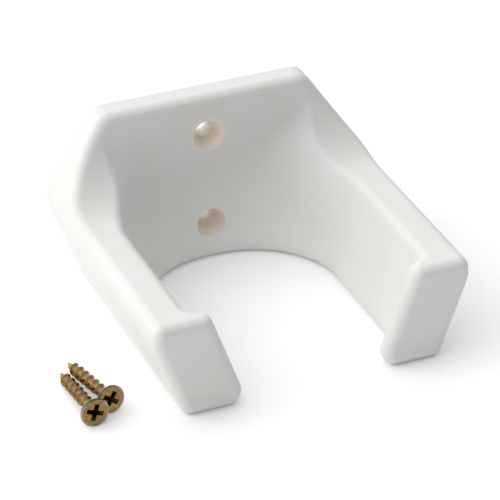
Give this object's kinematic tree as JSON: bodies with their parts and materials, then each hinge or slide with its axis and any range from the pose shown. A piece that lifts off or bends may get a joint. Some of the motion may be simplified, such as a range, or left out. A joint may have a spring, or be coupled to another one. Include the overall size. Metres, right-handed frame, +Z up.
{
  "type": "rod holder",
  "caption": "Wall-mounted rod holder: an open-fronted U-shaped cradle with inward lips on a back plate, fixed by countersunk wood screws, shown loose beside it.",
  "frame": {"origin": "middle of the bottom edge of the bracket's wall face", "axes": "+Y into the wall, +Z up, +X across; the bracket is symmetric about X = 0 and opens towards -Y"},
  "size_m": [0.1091, 0.0827, 0.0499],
  "materials": {
    "white_plastic": "matte, fine layer lines",
    "plated_steel": "yellow zinc plating"
  },
  "bodies": {
    "bracket": {"bracket": "white_plastic"},
    "screw_front": {"screw_front": "plated_steel"},
    "screw_rear": {"screw_rear": "plated_steel"}
  },
  "joints": [
    {"name": "screw_front_lift", "type": "slide", "parent": "bracket", "child": "screw_front", "axis": [0, 0, 1], "range_m": [0, 0.06]},
    {"name": "screw_rear_lift", "type": "slide", "parent": "bracket", "child": "screw_rear", "axis": [0, 0, 1], "range_m": [0, 0.06]}
  ]
}
